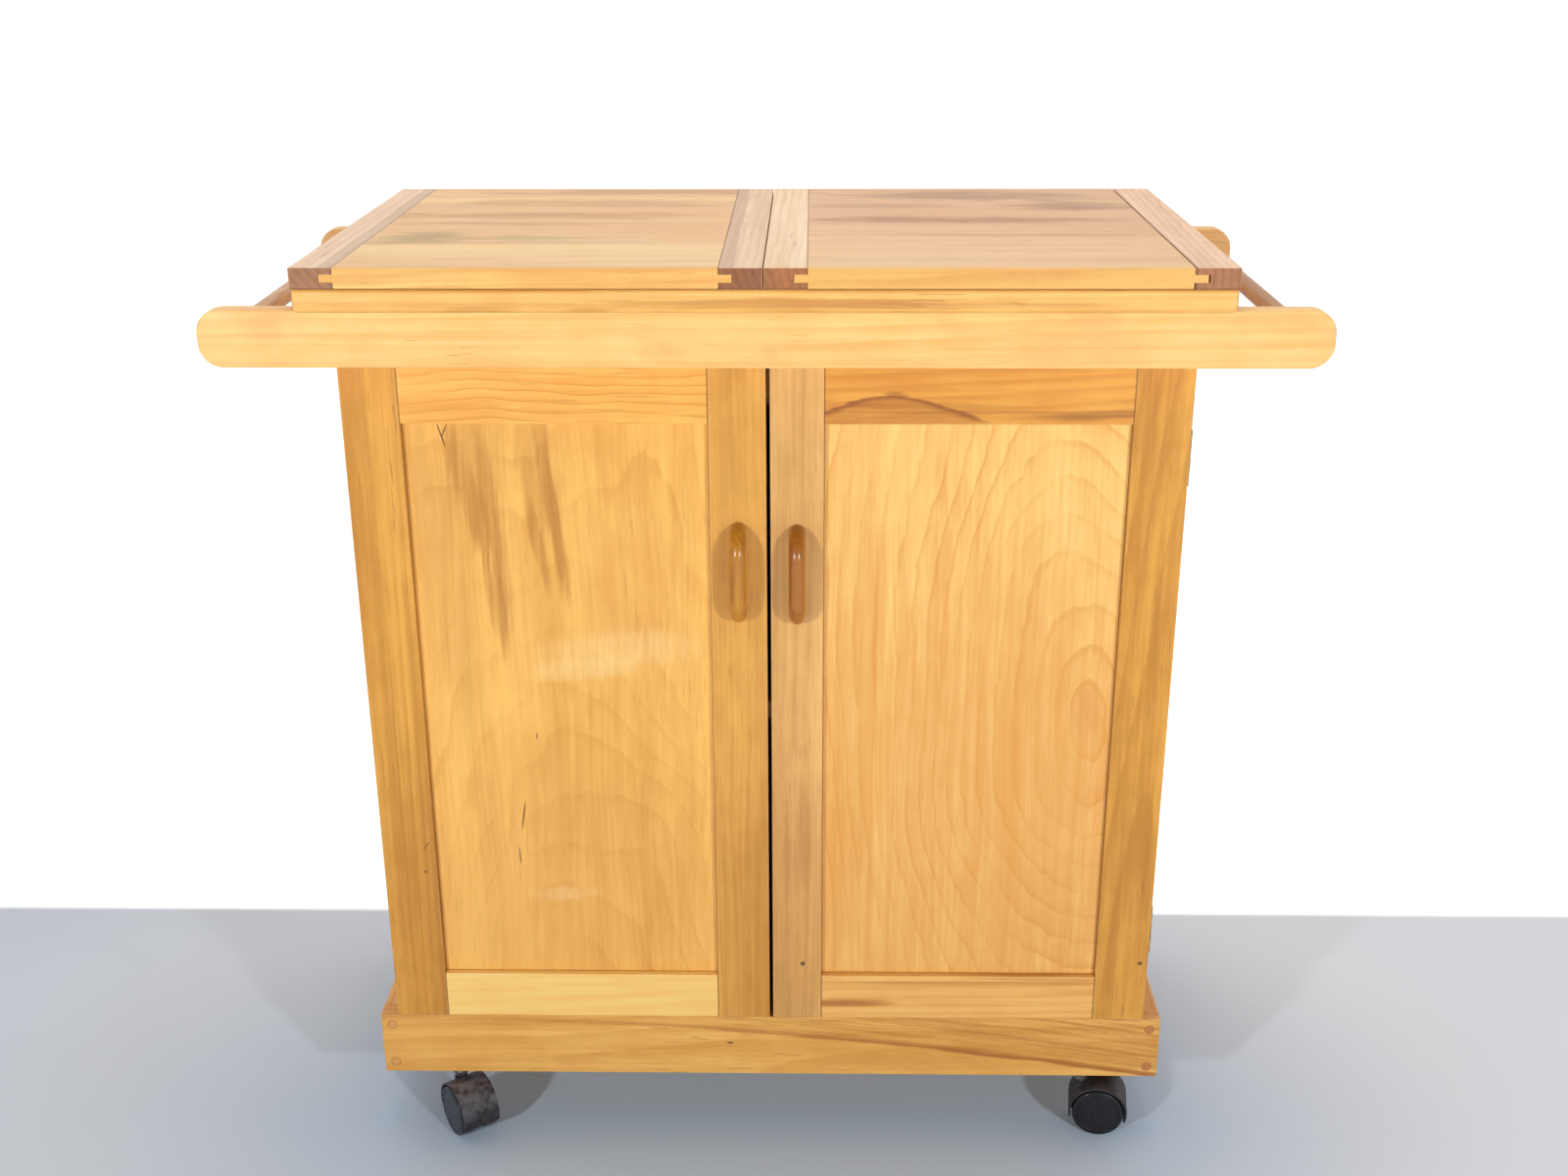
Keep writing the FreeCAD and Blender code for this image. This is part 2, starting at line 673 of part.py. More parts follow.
def wheel(label, end):
    """One wheel, with a blind bore for the axle and a thin ring turned in its outer face."""
    body = new_body(label, ("trail", "0", "wheel_radius"))
    inner, outer = "wheel_face - wheel_wide", "wheel_face"
    start = inner if end == RIGHT else f"-({outer})"
    round_step(body, "Additive", "wheel_radius", "wheel_wide", ("0", start, "0"), "y")
    fillet_step(body, "wheel_round", is_circle)
    ring = body.newObject("PartDesign::SubtractiveTorus", f"{label}_ring")
    at = ("0", signed(end, outer), "0")
    bind(ring, {"Radius1": "wheel_ring", "Radius2": "ring_radius"}, at, ALONG["y"])
    bore_from = f"{inner} - 1" if end == RIGHT else "-(axle_half + 0.5)"
    long = f"axle_half + 0.5 - ({inner}) + 1"
    round_step(body, "Subtractive", "axle_radius + fit_gap", long, ("0", bore_from, "0"), "y")
    return body


def caster_stems():
    """The stems, pressed up into the skirt's front and back boards; the hoods swivel on them."""
    stems = []
    for side, row, heading in CASTERS.values():
        x, y = signed(side, "top_length / 2 - stem_inset"), STEM_ROWS[row]
        collar = "neck_top + collar_lift"
        top = "caster_height + shank_long"
        pieces = [
            cylinder("stem_pin", "stem_radius", f"{collar} - stem_low + 1", (x, y, "stem_low")),
            cylinder("stem_collar", "collar_radius", "collar_thick", (x, y, collar)),
            cylinder("stem_shank", "shank_radius", f"{top} - ({collar}) - 1", (x, y, f"{collar} + 1")),
        ]
        stems.append(fused("stem", pieces))
    node(group("caster_stems", stems), "caster_stems")


# ---------------------------------------------------------------- the whole table

base_slab()
leaf("left", LEFT, "0")
leaf("right", RIGHT, "loose_joint")
rail("front", FRONT_RAIL_FACE, "board - bar_socket - 0.5")
rail("rear", REAR_RAIL_INNER, "0")
for bar_name, bar_side in SIDES.items():
    handle_bar(bar_name, bar_side)
cabinet()
skirt_screws = skirt()
fixed_screws, moving_screws = hinges()
moving_screws["left_door"] += door("left", LEFT, "stile_wide")
moving_screws["right_door"] += door("right", RIGHT, "stile_narrow")
for owner in ("left_door", "right_door"):
    node(group(f"{owner}_screws", moving_screws[owner]), f"{owner}_screws")
node(group("frame_screws", skirt_screws + fixed_screws), "frame_screws")
for caster_name, (caster_side, caster_row, caster_heading) in CASTERS.items():
    caster(caster_name, caster_side, caster_row, caster_heading)
caster_stems()

doc.recompute()

failed = [item.Name for item in doc.Objects if {"Invalid", "Error"} & set(item.State)]
if failed:
    raise RuntimeError(f"these objects failed to build: {failed}")
for item in nodes:
    if item.Shape.isNull() or not item.Shape.isValid() or not item.Shape.Solids:
        raise RuntimeError(f"{item.Label} has no valid shape")

os.makedirs("parts", exist_ok=True)
for item in nodes:
    item.Shape.exportStep(f"parts/{item.Label}.step")
    print(f"{item.Label}: {len(item.Shape.Solids)} solid(s), {item.Shape.Volume / 1000:.1f} cm3")
print(f"{len(nodes)} nodes")
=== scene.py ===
"""A rolling butcher block table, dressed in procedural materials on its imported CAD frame."""

import math
import random

import bpy
from mathutils import Matrix, Vector


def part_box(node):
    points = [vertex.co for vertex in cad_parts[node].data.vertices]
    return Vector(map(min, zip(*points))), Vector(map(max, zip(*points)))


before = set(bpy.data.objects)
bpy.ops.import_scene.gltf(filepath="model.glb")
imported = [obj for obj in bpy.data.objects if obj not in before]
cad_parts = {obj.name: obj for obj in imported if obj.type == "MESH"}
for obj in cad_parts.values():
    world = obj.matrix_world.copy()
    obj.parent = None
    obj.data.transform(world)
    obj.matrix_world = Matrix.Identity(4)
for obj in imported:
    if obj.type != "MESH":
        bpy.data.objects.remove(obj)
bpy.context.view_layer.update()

random.seed(4127)

SIDES = ("left", "right")


def srgb(red, green, blue):
    """A display colour, 0 to 255, as linear light with full alpha."""
    def linear(value):
        value /= 255
        return value / 12.92 if value <= 0.04045 else ((value + 0.055) / 1.055) ** 2.4
    return (linear(red), linear(green), linear(blue), 1.0)


class Shader:
    """Builds one material's node tree. Its object coordinates are the CAD frame at rest, in metres."""

    def __init__(self, name):
        self.material = bpy.data.materials.new(name)
        self.material.use_nodes = True
        self.nodes = self.material.node_tree.nodes
        self.links = self.material.node_tree.links
        self.nodes.clear()
        coordinates = self.nodes.new("ShaderNodeTexCoord")
        self.place = coordinates.outputs["Object"]
        self.facing = coordinates.outputs["Normal"]

    def put(self, socket, value):
        if isinstance(value, bpy.types.NodeSocket):
            self.links.new(value, socket)
        else:
            socket.default_value = value

    def math(self, operation, *values):
        node = self.nodes.new("ShaderNodeMath")
        node.operation = operation
        for socket, value in zip(node.inputs, values):
            self.put(socket, value)
        return node.outputs[0]

    def add(self, a, b):
        return self.math("ADD", a, b)

    def subtract(self, a, b):
        return self.math("SUBTRACT", a, b)

    def times(self, a, b):
        return self.math("MULTIPLY", a, b)

    def both(self, a, b):
        return self.math("MAXIMUM", a, b)

    def vector(self, x, y, z):
        node = self.nodes.new("ShaderNodeCombineXYZ")
        for socket, value in zip(node.inputs, (x, y, z)):
            self.put(socket, value)
        return node.outputs[0]

    def parts(self, vector):
        node = self.nodes.new("ShaderNodeSeparateXYZ")
        self.put(node.inputs[0], vector)
        return tuple(node.outputs)

    def vectors(self, operation, a, b):
        node = self.nodes.new("ShaderNodeVectorMath")
        node.operation = operation
        self.put(node.inputs[0], a)
        self.put(node.inputs[1], b)
        return node.outputs["Value" if operation == "DOT_PRODUCT" else "Vector"]

    def noise(self, vector, stretch=(1, 1, 1), detail=2.0, roughness=0.5, distortion=0.0, colour=False):
        node = self.nodes.new("ShaderNodeTexNoise")
        self.put(node.inputs["Vector"], self.vectors("MULTIPLY", vector, stretch))
        node.inputs["Scale"].default_value = 1.0
        node.inputs["Detail"].default_value = detail
        node.inputs["Roughness"].default_value = roughness
        node.inputs["Distortion"].default_value = distortion
        return node.outputs[1 if colour else 0]

    def smooth(self, value, low, high, start=0.0, end=1.0):
        node = self.nodes.new("ShaderNodeMapRange")
        node.interpolation_type = "SMOOTHSTEP"
        for key, item in zip(("Value", "From Min", "From Max", "To Min", "To Max"),
                             (value, low, high, start, end)):
            self.put(node.inputs[key], item)
        return node.outputs[0]

    def blend(self, factor, a, b, how="MIX"):
        node = self.nodes.new("ShaderNodeMixRGB")
        node.blend_type = how
        for socket, value in zip(node.inputs, (factor, a, b)):
            self.put(socket, value)
        return node.outputs[0]

    def bump(self, height, distance, strength=1.0):
        node = self.nodes.new("ShaderNodeBump")
        node.inputs["Strength"].default_value = strength
        node.inputs["Distance"].default_value = distance
        self.put(node.inputs["Height"], height)
        return node.outputs[0]

    def finish(self, colour, roughness, normal=None, **extra):
        surface = self.nodes.new("ShaderNodeBsdfPrincipled")
        self.put(surface.inputs["Base Color"], colour)
        self.put(surface.inputs["Roughness"], roughness)
        if normal is not None:
            self.put(surface.inputs["Normal"], normal)
        for key, value in extra.items():
            self.put(surface.inputs[key], value)
        output = self.nodes.new("ShaderNodeOutputMaterial")
        self.links.new(surface.outputs[0], output.inputs[0])
        return self.material

    def oval(self, across, up, centre, radii, slant, ragged, wobble, soft):
        """1 inside an oval, 0 outside: centre and radii in metres, slant as sideways shift per rise."""
        a = self.subtract(across, centre[0])
        b = self.subtract(up, centre[1])
        a = self.subtract(a, self.times(b, slant))
        a = self.math("DIVIDE", a, radii[0])
        b = self.math("DIVIDE", b, radii[1])
        reach = self.math("SQRT", self.add(self.times(a, a), self.times(b, b)))
        reach = self.add(reach, self.times(wobble, ragged))
        return self.smooth(reach, 1.0 - soft, 1.0 + soft, 1.0, 0.0)


GRAIN = {"x": (1, 0, 0), "y": (0, 1, 0), "z": (0, 0, 1)}
# The joint tone is painted shade for the dark lines along joints and contact edges, with some dirt.
CRACK, JOINT_SHADE_AND_DIRT, FRESH_CUT = (84, 44, 20), (96, 52, 22), (250, 232, 205)
JOINT_SHADE_AND_DIRT_STRENGTH, GLUE_LINE = 0.70, 0.45


class Timber(Shader):
    """One piece of timber. Lengths are in metres and colours are display colours.

    `along` is the axis that the grain runs on, `strips` the width of the staves of a glued-up board,
    and `wander` how far the grain strays sideways.
    """

    def __init__(self, name, nodes, along, strips=None, wander=0.008):
        super().__init__(name)
        self.members = nodes
        self.along = along
        boxes = [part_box(node) for node in nodes]
        low = Vector(map(min, zip(*(box[0] for box in boxes))))
        high = Vector(map(max, zip(*(box[1] for box in boxes))))
        self.middle, self.half = (low + high) / 2, (high - low) / 2
        x, y, z = self.axes = self.parts(self.place)
        u, v, w = {"x": (x, y, z), "y": (y, x, z), "z": (z, x, y)}[along]
        self.offset = Vector(random.uniform(-9, 9) for _ in range(3))
        self.grain = self.vectors("ADD", self.vector(u, v, w), self.offset)
        self.tint, self.joint = 0.5, None
        if strips is not None:
            self.glue_up(v, strips)
        sway = self.vectors("SUBTRACT", self.noise(self.grain, (3, 9, 9), 2, colour=True), (0.5, 0.5, 0.5))
        strayed = self.vectors("MULTIPLY", sway, (0.0, wander, wander))
        self.bent = self.vectors("ADD", self.grain, strayed)
        self.fibre = self.noise(self.bent, (14, 700, 700), 2, 0.6)
        self.broad = self.noise(self.grain, (2.2, 7, 7), 2)
        self.ragged = self.subtract(self.noise(self.bent, (9, 150, 150), 4, 0.65), 0.5)
        self.relief = self.times(self.fibre, 0.5)

    def glue_up(self, v, width):
        """Staves of uneven width, each cut from another part of the tree, with a fine joint between."""
        uneven = self.times(self.math("SINE", self.times(v, 41.0)), 0.004)
        count = self.math("DIVIDE", self.add(v, uneven), width)
        chance = self.nodes.new("ShaderNodeTexWhiteNoise")
        chance.noise_dimensions = "1D"
        self.put(chance.inputs["W"], self.add(self.math("FLOOR", count), self.offset.x))
        self.tint = chance.outputs["Value"]
        apart = self.vectors("MULTIPLY", chance.outputs["Color"], (7.0, 3.0, 3.0))
        self.grain = self.vectors("ADD", self.grain, apart)
        part = self.math("FRACT", count)
        self.joint = self.both(self.smooth(part, 0.0, 0.010, 1.0, 0.0), self.smooth(part, 0.990, 1.0))

    def mix(self, area, strength, tone, how="MIX"):
        """Lays a display colour over the wood, where `area` is 1."""
        self.colour = self.blend(self.times(area, strength), self.colour, srgb(*tone), how)

    def growth_rings(self, spacing, tilt):
        """Layers about a pith line that lies beside the piece, tilted a little to its length."""
        u, v, w = self.parts(self.bent)
        across = [n for n in range(3) if n != "xyz".index(self.along)]
        pith_v = self.middle[across[0]] + random.uniform(0.01, 0.05)
        pith_w = self.middle[across[1]] + random.uniform(0.02, 0.06)
        a = self.subtract(self.subtract(v, self.offset.y + pith_v), self.times(u, tilt))
        b = self.subtract(self.subtract(w, self.offset.z + pith_w), self.times(u, tilt * 0.6))
        radius = self.math("SQRT", self.add(self.times(a, a), self.times(b, b)))
        drift = self.times(self.noise(self.grain, (1.6, 5, 5), 1), 2.4)
        turn = self.math("FRACT", self.add(self.math("DIVIDE", radius, spacing), drift))
        self.line = self.times(self.smooth(turn, 0.30, 0.93), self.smooth(turn, 0.94, 1.0, 1.0, 0.0))

    def contours(self, centre, stretch, spacing, ripple, swell, thin):
        """The contour pattern of a flat-sawn face, as closed lines around a centre in X and Z."""
        x, _, z = self.axes
        a = self.subtract(x, centre[0])
        b = self.math("DIVIDE", self.subtract(z, centre[1]), stretch)
        radius = self.math("SQRT", self.add(self.times(a, a), self.times(b, b)))
        for stretched, detail, size in (((9, 14, 14), 2, ripple), ((2.6, 4.6, 4.6), 1, swell),
                                        ((45, 130, 130), 2, 0.004)):
            wave = self.noise(self.grain, stretched, detail, 0.5)
            radius = self.add(radius, self.times(self.subtract(wave, 0.5), size))
        turn = self.math("FRACT", self.math("DIVIDE", radius, spacing))
        edge = self.times(self.smooth(turn, 0.74, 0.94), self.smooth(turn, 0.95, 1.0, 1.0, 0.0))
        faded = self.smooth(self.noise(self.grain, (6, 17, 17), 2, 0.5), 0.36, 0.64, 0.25, 1.0)
        self.line = self.times(self.add(self.times(turn, 0.45), self.times(edge, thin)), faded)

    def shade(self, pale, dark, lines, contrast):
        """The wood's own colour, from its bands, threads, mottling and lines."""
        threads = self.noise(self.bent, (4, 230, 230), 3, 0.65)
        bands = self.noise(self.bent, (1.3, 34, 34), 4, 0.62)
        mottle = self.noise(self.grain, (24, 60, 60), 3, 0.6)
        parts = ((bands, 0.5, 1.35 * contrast), (self.broad, 0.5, 0.9 * contrast), (threads, 0.5, 0.75),
                 (mottle, 0.5, 0.65), (self.fibre, 0.5, 0.25), (self.line, 0.25, lines),
                 (self.tint, 0.5, 0.7))
        tone = 0.5
        for value, mean, weight in parts:
            tone = self.add(tone, self.times(self.subtract(value, mean), weight))
        self.colour = self.blend(self.smooth(tone, 0.0, 1.0), srgb(*pale), srgb(*dark))

    def curl(self, strength, tone):
        """Slanting flames across the grain."""
        u, v, w = self.parts(self.grain)
        slant = self.vector(self.add(u, self.times(w, 1.1)), self.subtract(w, self.times(u, 0.10)), v)
        flame = self.noise(slant, (13, 26, 8), 3, 0.5)
        self.mix(self.smooth(flame, 0.48, 0.76), strength, tone)

    def streaks(self, strength, tone):
        """Long brown mineral streaks."""
        mineral = self.noise(self.bent, (1.1, 26, 26), 4, 0.6, 0.4)
        self.mix(self.smooth(mineral, 0.58, 0.76), strength, tone)

    def patches(self, spots, tone):
        """Ovals of darker or paler wood on the face, broken up into fine ragged streaks.

        Each has a centre and radii in X and Z, a slant, a strength and, where it isn't `tone`, a colour.
        """
        x, _, z = self.axes
        broken = self.smooth(self.noise(self.bent, (3, 190, 190), 3, 0.6), 0.34, 0.62, 0.55, 1.0)
        for centre, radii, slant, strength, *shade in spots:
            area = self.oval(x, z, centre, radii, slant, 2.0, self.ragged, 0.45)
            self.mix(self.times(area, broken), strength, shade[0] if shade else tone)

    def stains(self, spots):
        """Soft grey staining and rubbing on the upper face.

        Each stain has a centre and radii in X and Y, a slant, a strength and a colour to multiply by.
        """
        x, y, _ = self.axes
        cloud = self.subtract(self.noise(self.grain, (14, 42, 42), 4, 0.68), 0.5)
        for centre, radii, slant, strength, shade in spots:
            self.mix(self.oval(x, y, centre, radii, slant, 3.2, cloud, 0.7), strength, shade, "MULTIPLY")

    def marks(self, spots):
        """Cracks and pin knots: small dark hollows, each with a centre and radii in X and Z, and a slant."""
        x, _, z = self.axes
        for centre, radii, slant in spots:
            crack = self.oval(x, z, centre, radii, slant, 0.8, self.ragged, 0.25)
            self.mix(crack, 0.85, CRACK)
            self.relief = self.subtract(self.relief, self.times(crack, 2.5))

    def slash(self, start, bow, strength, tone):
        """A brown vein that falls in a bow from the upper left, with thin streaks above it."""
        x, _, z = self.axes
        out = self.add(x, self.half.x)
        rise = self.subtract(z, self.subtract(start, self.times(self.times(out, out), bow)))
        rise = self.add(rise, self.times(self.ragged, 0.008))
        vein = self.times(self.smooth(rise, -0.0022, 0.0004), self.smooth(rise, 0.0008, 0.0060, 1.0, 0.0))
        thin = self.noise(self.vector(x, rise, 0.0), (3, 240, 1), 3, 0.6)
        above = self.times(self.smooth(rise, 0.0, 0.004), self.smooth(thin, 0.40, 0.64, 0.15, 1.0))
        reach = self.smooth(x, -0.36, 0.28, 0.25, 1.0)
        self.mix(self.times(above, reach), strength * 0.6, tone)
        self.mix(self.times(vein, reach), strength, tone)

    def peak(self, apex, run, rise, strength, tone):
        """A figure like a low rounded hill, darkest along its outline."""
        x, _, z = self.axes
        out = self.math("DIVIDE", self.subtract(x, apex[0]), run)
        out = self.math("SQRT", self.add(self.times(out, out), 0.06))
        depth = self.subtract(self.subtract(apex[1], self.times(out, rise)), z)
        depth = self.add(depth, self.times(self.ragged, 0.014))
        near = self.smooth(out, 0.9, 1.2, 1.0, 0.0)
        inside = self.times(self.smooth(depth, 0.0, 0.003), near)
        outline = self.times(inside, self.smooth(depth, 0.001, 0.009, 1.0, 0.0))
        self.mix(inside, strength * 0.22, tone)
        self.mix(outline, strength, tone)

    def lane(self, low, high, strength, tone):
        """A stave of another colour along one side of a board, between two values of X."""
        x = self.axes[0]
        inside = self.times(self.smooth(x, low - 0.0003, low + 0.0003),
                            self.smooth(x, high - 0.0003, high + 0.0003, 1.0, 0.0))
        self.mix(inside, strength, tone)

    def crevices(self, joints, strength):
        """Painted shade, with some dirt, in joints and along contact edges: each is an axis and the value of
        it where it lies.

        The face that lies in the joint gets none of it.
        """
        facing = self.parts(self.facing)
        for axis, level in joints:
            n = "xyz".index(axis)
            away = self.math("ABSOLUTE", self.subtract(self.axes[n], level))
            crosses = self.smooth(self.math("ABSOLUTE", facing[n]), 0.80, 0.98, 1.0, 0.0)
            self.mix(self.times(self.smooth(away, 0.0003, 0.0014, 1.0, 0.0), crosses), strength, JOINT_SHADE_AND_DIRT)

    def flecks(self, strength, tone):
        """Short dark dashes along the grain, a little sunk."""
        dash = self.noise(self.bent, (26, 420, 420), 1)
        sparse = self.noise(self.grain, (5, 11, 11), 1)
        fleck = self.times(self.smooth(dash, 0.64, 0.74), self.smooth(sparse, 0.44, 0.62))
        self.mix(fleck, strength, tone)
        self.relief = self.subtract(self.relief, self.times(fleck, 0.9))

    def weathered_with_sheen(self, strength, tone):
        """A rubbed, bleached upper face, also painted paler as sheen; the other faces keep their finish."""
        up = self.smooth(self.parts(self.facing)[2], 0.70, 0.98)
        uneven = self.smooth(self.noise(self.grain, (5, 22, 22), 3, 0.6), 0.25, 0.75, 0.75, 1.0)
        self.mix(self.times(up, uneven), strength, tone)

    def end_grain(self, tone):
        """Pores, on the faces that are cut across the grain."""
        cut = self.math("ABSOLUTE", self.vectors("DOT_PRODUCT", self.facing, GRAIN[self.along]))
        pores = self.noise(self.place, (900, 900, 900), 2, 0.7)
        cloud = self.noise(self.place, (120, 120, 120), 3, 0.6)
        depth = self.add(self.times(self.add(pores, cloud), 0.5), self.times(self.line, 0.15))
        shade = self.blend(self.smooth(depth, 0.2, 0.9), srgb(*tone), srgb(*(part * 0.74 for part in tone)))
        self.colour = self.blend(self.smooth(cut, 0.60, 0.85), self.colour, shade)

    def rubbed_and_highlit(self, strength, tone):
        """Edges tinted by `tone`: wear from handling, and with a pale tone a painted highlight along the
        eased edges.
        """
        inner = [self.subtract(h, self.math("ABSOLUTE", self.subtract(p, m)))
                 for p, m, h in zip(self.axes, self.middle, self.half)]
        smaller, larger = self.math("MINIMUM", *inner[:2]), self.math("MAXIMUM", *inner[:2])
        to_edge = self.math("MAXIMUM", smaller, self.math("MINIMUM", larger, inner[2]))
        edge_break = self.times(self.noise(self.place, (70, 70, 70), 3, 0.6), 0.003)
        self.mix(self.smooth(self.add(to_edge, edge_break), 0.0010, 0.0030, 1.0, 0.0), strength, tone)

    def knife_cuts(self, strength):
        """Fine pale scratches that run in two directions."""
        x, y, z = self.axes
        for turn_by, stretch in ((0.35, (5, 950, 1)), (-0.6, (7, 900, 1))):
            ahead, aside = self.add(x, self.times(y, turn_by)), self.subtract(y, self.times(x, turn_by))
            cut = self.smooth(self.noise(self.vector(ahead, aside, z), stretch, 1), 0.74, 0.80)
            self.mix(cut, strength, FRESH_CUT)
            self.relief = self.subtract(self.relief, self.times(cut, 0.6))

    def apply(self, rough, gloss):
        """Finishes the material and gives it to the piece's nodes."""
        roughness = self.add(rough, self.times(self.subtract(self.broad, 0.5), 0.22))
        roughness = self.add(roughness, self.times(self.subtract(self.fibre, 0.5), 0.12))
        normal = self.bump(self.relief, 0.00018, 0.55)
        coat = {"Coat Weight": gloss, "Coat Roughness": 0.22}
        assign(self.finish(self.colour, roughness, normal, **coat), self.members)


def assign(material, names):
    for name in names:
        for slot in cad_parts[name].material_slots:
            slot.material = material


def wood(name, nodes, along, pale, dark, deep=(170, 106, 44), end=(196, 132, 74), strips=None, figure=None,
         lines=0.25, spacing=0.006, tilt=0.02, wander=0.008, contrast=1.0, curl=0.0,
         curl_tone=(238, 170, 100), streaks=0.0, flecks=0.35, patches=(), marks=(), stains=(), lane=None,
         slash=None, peak=None, crevices=(), bleach_and_sheen=0.0, bleach_and_sheen_tone=(236, 204, 172), rough=0.42, edge_strength=0.12,
         edge_tone=(255, 226, 170), gloss=0.0, knife=0.0):
    """A material for one piece of timber.

    `pale` and `dark` are the two tones of the wood itself, `deep` is the tone of its veins and flecks,
    and `end` that of its end grain. The other values go to the methods of Timber that use those names.
    """
    timber = Timber(name, nodes, along, strips, wander)
    if figure is None:
        timber.growth_rings(spacing, tilt)
    else:
        timber.contours(**figure)
    timber.shade(pale, dark, lines, contrast)
    if curl:
        timber.curl(curl, curl_tone)
    if streaks:
        timber.streaks(streaks, deep)
    timber.patches(patches, deep)
    if slash is not None:
        timber.slash(*slash, deep)
    if peak is not None:
        timber.peak(*peak, deep)
    timber.flecks(flecks, deep)
    if timber.joint is not None:
        timber.mix(timber.joint, GLUE_LINE, deep)
    # Upward faces painted paler: bleaching, and painted sheen.
    if bleach_and_sheen:
        timber.weathered_with_sheen(bleach_and_sheen, bleach_and_sheen_tone)
    if lane is not None:
        timber.lane(*lane)
    timber.stains(stains)
    timber.marks(marks)
    timber.end_grain(end)
    # Pale edge tones are partly wear and partly painted edge highlight.
    timber.rubbed_and_highlit(edge_strength, edge_tone)
    timber.crevices(crevices, JOINT_SHADE_AND_DIRT_STRENGTH)
    if knife:
        timber.knife_cuts(knife)
    timber.apply(rough, gloss)


# ---------------------------------------------------------------- timber: top, rails and leaves

# The base's top and bottom edges and the leaves' bottom edges get painted contact shade through crevices.
BASE_LOW, BASE_TOP = (corner[2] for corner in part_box("base_slab"))

wood("base_block_wood", ["base_slab"], "x", (253, 200, 112), (229, 160, 73), (190, 118, 44),
     (226, 168, 100), strips=0.052, streaks=0.45, flecks=0.5, edge_strength=0.2, edge_tone=(255, 214, 148),
     crevices=[("z", BASE_LOW), ("z", BASE_TOP)],
     patches=[((0.020, 0.8410), (0.140, 0.0045), 0.0, 0.55), ((0.160, 0.8390), (0.120, 0.0025), 0.0, 0.55),
              ((-0.230, 0.8360), (0.030, 0.0035), 0.0, 0.40), ((-0.140, 0.8345), (0.020, 0.0025), 0.0, 0.45)])
wood("front_rail_wood", ["front_rail"], "x", (255, 212, 136), (244, 184, 100), (206, 138, 66),
     (240, 190, 122), curl=0.55, flecks=0.55, contrast=0.8, spacing=0.011)
wood("rear_rail_wood", ["rear_rail"], "x", (250, 203, 130), (238, 176, 98), (200, 132, 62),
     (236, 184, 116), curl=0.45, flecks=0.45, spacing=0.010, curl_tone=(232, 162, 94))
for side in SIDES:
    wood(f"{side}_handle_bar_wood", [f"{side}_handle_bar"], "y", (226, 186, 142), (184, 136, 96),
         (120, 84, 56), contrast=1.2, rough=0.5, flecks=0.5)

wood("left_leaf_wood", ["left_leaf_slab"], "x", (255, 212, 124), (236, 170, 84), (176, 120, 66),
     (246, 200, 124), strips=0.052, spacing=0.010, streaks=0.45, rough=0.50, knife=0.12, bleach_and_sheen=0.46,
     contrast=1.2, crevices=[("z", BASE_TOP)],
     stains=[((-0.300, -0.075), (0.034, 0.030), 0.5, 0.65, (176, 190, 176)),
             ((-0.205, -0.075), (0.060, 0.014), 0.0, 0.50, (196, 196, 180)),
             ((-0.215, 0.045), (0.130, 0.016), 0.0, 0.60, (206, 188, 176)),
             ((-0.180, 0.120), (0.150, 0.018), 0.0, 0.60, (206, 186, 172)),
             ((-0.230, 0.000), (0.120, 0.010), 0.0, 0.50, (212, 192, 176)),
             ((-0.120, 0.190), (0.140, 0.018), 0.0, 0.65, (200, 184, 174))])
wood("right_leaf_wood", ["right_leaf_slab"], "x", (242, 186, 100), (216, 146, 66), (166, 106, 56),
     (246, 196, 124), strips=0.050, spacing=0.009, streaks=0.50, rough=0.50, knife=0.12, bleach_and_sheen=0.46,
     bleach_and_sheen_tone=(242, 211, 184), contrast=1.2, crevices=[("z", BASE_TOP)],
     stains=[((0.190, 0.168), (0.110, 0.026), 0.0, 0.62, (178, 168, 170)),
             ((0.165, 0.020), (0.110, 0.016), 0.0, 0.65, (188, 172, 164)),
             ((0.285, 0.100), (0.050, 0.026), 0.0, 0.70, (186, 170, 162)),
             ((0.110, 0.100), (0.070, 0.014), 0.0, 0.50, (196, 180, 170)),
             ((0.200, -0.060), (0.130, 0.008), 0.0, 0.50, (206, 182, 162))])
END_BOARDS = {
    "left_leaf_outer_end": ((255, 225, 192), (236, 196, 160), (184, 124, 82), 1),
    "left_leaf_inner_end": ((250, 215, 177), (227, 184, 144), (168, 106, 64), -1),
    "right_leaf_inner_end": ((255, 224, 182), (238, 193, 146), (192, 122, 70), 1),
    "right_leaf_outer_end": ((255, 213, 176), (227, 178, 138), (188, 122, 76), -1),
}
LANE_WIDTH = 0.012
for node, (pale, dark, end, slab_side) in END_BOARDS.items():
    (low, _, _), (high, _, _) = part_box(node)
    joint = high if slab_side > 0 else low
    lane = None
    if node.startswith("left"):
        lane = (*sorted((joint, joint - slab_side * LANE_WIDTH)), 0.42, (178, 136, 110))
    wood(f"{node}_wood", [node], "y", pale, dark, (150, 100, 70), end, spacing=0.007, streaks=0.15,
         rough=0.48, edge_strength=0.2, edge_tone=(206, 160, 122), knife=0.05, lane=lane,
         crevices=[("z", BASE_TOP), ("x", joint)])


# ---------------------------------------------------------------- timber: doors and pulls

def frame_joints(side):
    """The edges of a door's opening, where its rails and panel meet the frame: two in X, two in Z."""
    stiles = (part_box(f"{side}_door_outer_stile"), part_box(f"{side}_door_inner_stile"))
    across = sorted(corner[0] for box in stiles for corner in box)[1:3]
    low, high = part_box(f"{side}_door_bottom_rail")[1][2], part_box(f"{side}_door_top_rail")[0][2]
    return [("x", level) for level in across], [("z", low), ("z", high)]


# Crevices paint shade along these door joints and round the sunk panels.
SHOULDERS, PANEL_EDGES = {}, {}
for side in SIDES:
    SHOULDERS[side], levels = frame_joints(side)
    PANEL_EDGES[side] = SHOULDERS[side] + levels

